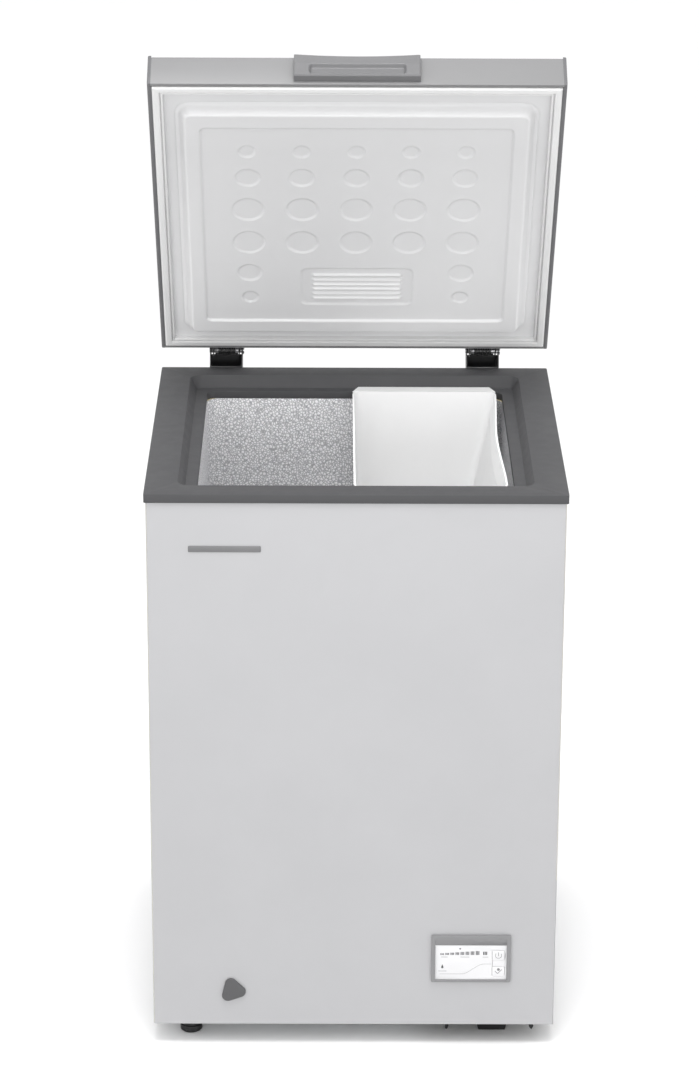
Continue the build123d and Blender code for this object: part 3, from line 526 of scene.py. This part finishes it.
def build_corner_caps():
    """Small plastic cap over each rear corner of the lid."""
    for side, name in ((-1, "left_corner_cap"), (1, "right_corner_cap")):
        middle = Vector((side * (HALF - 0.0165), LID_REAR - 0.0006, LID_BASE + 0.0235))
        size = Matrix.Diagonal((0.024, 0.0024, 0.046))
        mesh = box_mesh(name, lambda corner: LIFT @ (middle + size @ corner))
        piece = add_piece(name, mesh, "lid", TRIM_GREY)
        round_edges(piece, 0.0010)


# Basket


def basket_outline(low, high, level, inset):
    """Closed outline at a level from 0 at the floor to 1 at the rim, with rounded corners."""
    pull = BASKET_TAPER * (1 - level) + inset
    x0 = low.x + pull
    x1 = high.x - pull - BASKET_LEAN * (1 - level)
    y0 = BASKET_FRONT + pull
    y1 = BASKET_REAR - pull
    radius = BASKET_CORNER - inset
    corners = (
        (x1 - radius, y0 + radius, -90),
        (x1 - radius, y1 - radius, 0),
        (x0 + radius, y1 - radius, 90),
        (x0 + radius, y0 + radius, 180),
    )
    points = []
    for cx, cy, start in corners:
        for k in range(7):
            a = math.radians(start + 15 * k)
            points.append(Vector((cx + radius * math.cos(a), cy + radius * math.sin(a))))
    filled = []
    for k, p in enumerate(points):
        n = points[(k + 1) % len(points)]
        filled.append(p)
        if (n - p).length > 0.05:
            filled += [p.lerp(n, m / WALL_STEPS) for m in range(1, WALL_STEPS)]
    for p in filled:
        if p.x > (x0 + x1) / 2:
            t = (p.y - y0) / (y1 - y0)
            p.x -= BASKET_BOW * level * math.sin(math.pi * min(max(t, 0), 1)) ** 2
    return filled


def basket_shell(low, high):
    """Open thin-walled box: outline loops up the outside and down the inside."""
    wall = BASKET_WALL
    outside = [(0.0, 0.0045), (0.012, 0.0), (0.35, 0.0), (0.7, 0.0), (1.0, 0.0)]
    inside = [(1.0, wall), (0.7, wall), (0.35, wall), (0.024, wall), (0.011, wall + 0.004)]
    loops = []
    for level, inset in outside + inside:
        z = low.z + level * (high.z - low.z)
        loops.append([(p.x, p.y, z) for p in basket_outline(low, high, level, inset)])
    count = len(loops[0])
    verts = [v for loop in loops for v in loop]
    faces = []
    for r in range(len(loops) - 1):
        for k in range(count):
            n = (k + 1) % count
            near = r * count
            far = near + count
            faces.append((near + k, near + n, far + n, far + k))
    faces.append(tuple(range(count))[::-1])
    last = (len(loops) - 1) * count
    faces.append(tuple(last + k for k in range(count)))
    return mesh_from("hanging_basket", verts, faces)


def basket_slots(low, high):
    """Boxes that cut the slots in both side walls and in the floor."""
    cutters = bmesh.new()

    def slot_box(x, y, z, sx, sy, sz):
        place = Matrix.Translation((x, y, z)) @ Matrix.Diagonal((sx, sy, sz, 1))
        bmesh.ops.create_cube(cutters, size=1.0, matrix=place)

    height = high.z - low.z
    long = height * SLOT_SPAN
    span = BASKET_REAR - BASKET_FRONT
    for k in range(WALL_SLOTS):
        y = BASKET_FRONT + 0.028 + k * (span - 0.056) / (WALL_SLOTS - 1)
        z = low.z + height * 0.50
        slot_box(high.x - 0.010 - BASKET_LEAN / 2, y, z, 0.060, SLOT_WIDTH, long)
        slot_box(low.x + 0.004, y, z, 0.016, SLOT_WIDTH, long)
    for k in range(FLOOR_SLOTS):
        y = BASKET_FRONT + 0.035 + k * (span - 0.070) / (FLOOR_SLOTS - 1)
        slot_box((low.x + high.x - BASKET_LEAN) / 2, y, low.z, 0.115, 0.006, 0.020)
    mesh = bpy.data.meshes.new("basket_slots")
    cutters.to_mesh(mesh)
    cutters.free()
    return mesh


def build_basket():
    """White hanging basket with a gently bowed right side and slots in its walls and floor."""
    low, high = (Vector(c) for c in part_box("basket"))
    mesh = basket_shell(low, high)
    piece = add_piece("hanging_basket", mesh, "basket", BASKET_WHITE, ["basket"])
    cutter = bpy.data.objects.new("basket_slots", basket_slots(low, high))
    bpy.context.scene.collection.objects.link(cutter)
    cut = piece.modifiers.new("slots", "BOOLEAN")
    cut.object = cutter
    cut.solver = "EXACT"
    graph = bpy.context.evaluated_depsgraph_get()
    finished = bpy.data.meshes.new_from_object(piece.evaluated_get(graph))
    piece.modifiers.remove(cut)
    piece.data = finished
    bpy.data.objects.remove(cutter)
    smooth(finished, 35.0)
    build_basket_lips(low, high)


def build_basket_lips(low, high):
    """Flat lips front and rear that rest on the collar's ledges."""
    chamfer = 0.008
    lips = (
        ("basket_front_lip", low.y, BASKET_FRONT + 0.0015, False),
        ("basket_rear_lip", BASKET_REAR - 0.0015, high.y, True),
    )
    for name, front, rear, at_rear in lips:

        def place(corner):
            outer = (corner.y > 0) == at_rear
            inset = chamfer if outer else 0.0
            x = low.x + inset + (corner.x + 0.5) * (high.x - low.x - 2 * inset)
            y = front + (corner.y + 0.5) * (rear - front)
            return Vector((x, y, high.z - BASKET_RIM + (corner.z + 0.5) * BASKET_RIM))

        lip = add_piece(name, box_mesh(name, place), "basket", BASKET_WHITE)
        round_edges(lip, 0.0009)


# Control panel


def panel_print(name, shapes, lift=0.0):
    """Thin raised print on the facia, from outlines that are lists of (x, z) corners."""
    back = PLATE_FACE - lift
    front = PLATE_FACE - PRINT_THICK - lift
    verts = []
    faces = []
    for shape in shapes:
        start = len(verts)
        count = len(shape)
        verts += [(x, front, z) for x, z in shape] + [(x, back, z) for x, z in shape]
        faces.append(tuple(range(start, start + count)))
        faces.append(tuple(range(start + 2 * count - 1, start + count - 1, -1)))
        for k in range(count):
            n = (k + 1) % count
            faces.append((start + k, start + count + k, start + count + n, start + n))
    return mesh_from(name, verts, faces)


def bar(x0, z0, x1, z1):
    """Outline of a rectangle."""
    return [(x0, z0), (x1, z0), (x1, z1), (x0, z1)]


def on_circle(x, z, radius, degrees):
    """Point on a circle on the panel."""
    angle = math.radians(degrees)
    return (x + radius * math.cos(angle), z + radius * math.sin(angle))


def disc(x, z, radius, start=0.0, sweep=360.0, steps=28):
    """Outline of a disc, or of a part of one."""
    return [on_circle(x, z, radius, start + sweep * k / steps) for k in range(steps)]


def ribbon(points, width):
    """Quads along a line of points."""
    shapes = []
    for (x0, z0), (x1, z1) in zip(points, points[1:]):
        half = Vector((x1 - x0, z1 - z0)).normalized() * width / 2
        low_start = (x0 + half.y, z0 - half.x)
        low_end = (x1 + half.y, z1 - half.x)
        high_end = (x1 - half.y, z1 + half.x)
        high_start = (x0 - half.y, z0 + half.x)
        shapes.append([low_start, low_end, high_end, high_start])
    return shapes


def build_scale(left, bottom):
    """Dark print: eight groups of growing bars, one apart, a drop and a small diamond."""
    base = bottom + 0.0370
    shapes = []
    for group in range(8):
        height = 0.0024 + 0.0005 * group
        for k in range(3):
            x = left + 0.0070 + group * 0.0068 + k * 0.0018
            shapes.append(bar(x, base, x + 0.0012, base + height))
    for k in range(3):
        x = left + 0.0645 + k * 0.0020
        shapes.append(bar(x, base, x + 0.0014, bottom + 0.0418))
    drop_x = left + 0.0098
    drop_z = bottom + 0.0185
    shapes.append(disc(drop_x, drop_z, 0.0016, 150, 240, 16) + [(drop_x, drop_z + 0.0046)])
    mark = left + 0.0335
    shapes.append(
        [
            (mark, bottom + 0.0450),
            (mark + 0.0016, bottom + 0.0462),
            (mark, bottom + 0.0474),
            (mark - 0.0016, bottom + 0.0462),
        ]
    )
    mesh = panel_print("scale_bars", shapes)
    add_piece("scale_bars", mesh, "cabinet", INK)


def build_panel_lines(left, bottom):
    """Pale print: a thin wave, and dashes where a panel has its words."""
    wave = []
    for k in range(49):
        t = k / 48
        rise = 0.0150 * float(ease(np.array(t), 0.42, 0.86))
        wave.append((left + 0.006 + 0.070 * t, bottom + 0.0085 + rise))
    shapes = ribbon(wave, 0.0004)
    for start, end in ((0.0080, 0.0170), (0.0340, 0.0460), (0.0640, 0.0715)):
        shapes.append(bar(left + start, bottom + 0.0335, left + end, bottom + 0.0342))
    shapes.append(bar(left + 0.0045, bottom + 0.0125, left + 0.0155, bottom + 0.0132))
    mesh = panel_print("panel_lines", shapes)
    add_piece("panel_lines", mesh, "cabinet", PALE_INK)


def open_ring(x, z):
    """Key mark: a ring open at the top with a bar through the gap."""
    arc = [on_circle(x, z, 0.0042, degrees) for degrees in range(140, 401, 10)]
    return ribbon(arc, 0.0006) + [bar(x - 0.0004, z - 0.0010, x + 0.0004, z + 0.0046)]


def tick_and_dot(x, z):
    """Key mark: a tick under a dot."""
    tick = [(x - 0.0045, z + 0.001), (x - 0.001, z - 0.0032), (x + 0.0048, z + 0.0030)]
    return ribbon(tick, 0.0008) + [disc(x + 0.0002, z + 0.0030, 0.0020)]


def build_key_mark(node, shapes_at):
    """Mark in the middle of a key."""
    low, high = (Vector(c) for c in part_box(node))
    name = node + "_mark"
    shapes = shapes_at((low.x + high.x) / 2, (low.z + high.z) / 2)
    mesh = panel_print(name, shapes, KEY_PROUD)
    add_piece(name, mesh, node, KEY_INK)


def build_panel_print():
    """Everything printed on the facia and the keys; no lettering."""
    plate = Vector(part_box("control_plate")[0])
    build_scale(plate.x, plate.z)
    build_panel_lines(plate.x, plate.z)
    build_key_mark("lower_key", tick_and_dot)
    build_key_mark("upper_key", open_ring)


# CAD nodes that keep their shape: the material and the width of the softened edges

LOOKS = {
    "cabinet_wrapper": (PAINT, 0.0),
    "back_panel": (GALVANISED, 0.0002),
    "bottom_pan": (GALVANISED, 0.0002),
    "collar": (GREY, 0.0012),
    "inner_liner": (ALUMINIUM, 0.0),
    "foam_insulation": (FOAM, 0.0),
    "lid_foam": (FOAM, 0.0),
    "evaporator_tube": (COPPER, 0.0),
    "condenser_tube": (BLACK_STEEL, 0.0),
    "drain_tube": (WHITE, 0.0),
    "drain_plug": (RUBBER, 0.0006),
    "drain_cap": (CAP_GREY, 0.0002),
    "foot_inserts": (STEEL, 0.0004),
    "front_left_foot": (BLACK, 0.0006),
    "rear_left_foot": (BLACK, 0.0006),
    "front_right_foot": (BLACK, 0.0012),
    "rear_right_foot": (BLACK, 0.0012),
    "compressor_tray": (BLACK_STEEL, 0.0004),
    "compressor": (BLACK_STEEL, 0.0008),
    "compressor_grommets": (RUBBER, 0.0008),
    "compressor_bolts": (STEEL, 0.0004),
    "relay_cover": (BLACK, 0.0010),
    "suction_pipe": (COPPER, 0.0),
    "discharge_pipe": (COPPER, 0.0),
    "filter_drier": (COPPER, 0.0),
    "liquid_pipe": (COPPER, 0.0),
    "capillary_tube": (COPPER, 0.0),
    "rear_grille": (BLACK, 0.0005),
    "grille_screws": (STEEL, 0.0002),
    "cable_gland": (BLACK, 0.0006),
    "control_bezel": (BEZEL_GREY, 0.0005),
    "control_plate": (FACIA, 0.0003),
    "control_box": (WHITE, 0.0005),
    "control_board": (BOARD, 0.0002),
    "lower_key": (FACIA, 0.0004),
    "upper_key": (FACIA, 0.0004),
    "front_badge": (BADGE_GREY, 0.0003),
    "left_hinge_bracket": (BLACK_STEEL, 0.0004),
    "right_hinge_bracket": (BLACK_STEEL, 0.0004),
    "left_hinge_leaf": (BLACK_STEEL, 0.0004),
    "right_hinge_leaf": (BLACK_STEEL, 0.0004),
    "left_hinge_pin": (STEEL, 0.0003),
    "right_hinge_pin": (STEEL, 0.0003),
    "left_hinge_spring": (SPRING, 0.0),
    "right_hinge_spring": (SPRING, 0.0),
    "bracket_screws": (STEEL, 0.0002),
    "leaf_screws": (STEEL, 0.0002),
    "lid_panel": (LID_PAINT, 0.0004),
    "left_lid_trim": (TRIM_GREY, 0.0008),
    "right_lid_trim": (TRIM_GREY, 0.0008),
}


# Stage


def area_light(name, place, target, size, power, spread=180.0):
    """Rectangular lamp that faces a point."""
    data = bpy.data.lights.new(name, "AREA")
    data.shape = "RECTANGLE"
    data.size, data.size_y = size
    data.energy = power
    data.spread = math.radians(spread)
    lamp = bpy.data.objects.new(name, data)
    lamp.location = place
    lamp.rotation_mode = "QUATERNION"
    lamp.rotation_quaternion = (Vector(target) - Vector(place)).to_track_quat("-Z", "Y")
    bpy.context.scene.collection.objects.link(lamp)


def build_stage():
    """Plain white floor, pale surround and broad soft lights."""
    bm = bmesh.new()
    bmesh.ops.create_grid(bm, x_segments=1, y_segments=1, size=20.0)
    mesh = bpy.data.meshes.new("floor")
    bm.to_mesh(mesh)
    bm.free()
    floor_mat, _, shader = material("floor_white", (0.93, 0.93, 0.93), 0.9, specular=0.1)
    mesh.materials.append(floor_mat)
    floor = bpy.data.objects.new("floor", mesh)
    floor.location.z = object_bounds()[0][2] - 0.0002
    bpy.context.scene.collection.objects.link(floor)
    world = bpy.data.worlds.new("studio")
    bpy.context.scene.world = world
    world.use_nodes = True
    background = world.node_tree.nodes["Background"]
    background.inputs["Color"].default_value = (1.0, 1.0, 1.0, 1.0)
    background.inputs["Strength"].default_value = 1.08
    area_light("key", (-1.2, -2.6, 3.4), (0, 0, 0.7), (2.4, 1.6), 14.0)
    area_light("fill", (2.4, -2.4, 2.2), (0, 0, 0.5), (2.0, 2.0), 4.0)
    area_light("top", (0.0, -0.9, 3.2), (0, 0, 0.6), (1.2, 1.0), 8.0, 70.0)
    area_light("lid_fill", (0.0, -2.6, 1.0), (0, 0.1, 1.12), (1.2, 0.7), 2.4, 70.0)
    bpy.context.scene.view_settings.view_transform = "Standard"


def build_camera():
    """Camera in front, a little left of centre, looking down on the open freezer."""
    pitch = math.radians(20.50)
    yaw = math.radians(0.29)
    roll = math.radians(0.27)
    data = bpy.data.cameras.new("camera")
    data.lens = 119.2
    data.sensor_width = 36.0
    camera = bpy.data.objects.new("camera", data)
    camera.location = (-0.0303, FRONT - 4.3060, RIM_TOP + 1.5487)
    level = math.cos(pitch)
    ahead = Vector((math.sin(yaw) * level, math.cos(yaw) * level, -math.sin(pitch)))
    right = Vector((math.cos(yaw), -math.sin(yaw), 0.0))
    up = right.cross(ahead)
    turned_right = right * math.cos(roll) + up * math.sin(roll)
    turned_up = up * math.cos(roll) - right * math.sin(roll)
    basis = Matrix((turned_right, turned_up, -ahead)).transposed()
    camera.rotation_mode = "QUATERNION"
    camera.rotation_quaternion = basis.to_quaternion()
    bpy.context.scene.collection.objects.link(camera)
    bpy.context.scene.camera = camera


for node_name, (look, edge_width) in LOOKS.items():
    dress(node_name, look, edge_width)
build_camera()
build_lid_liner()
build_gasket()
build_handle()
build_corner_caps()
build_basket()
build_panel_print()
build_stage()
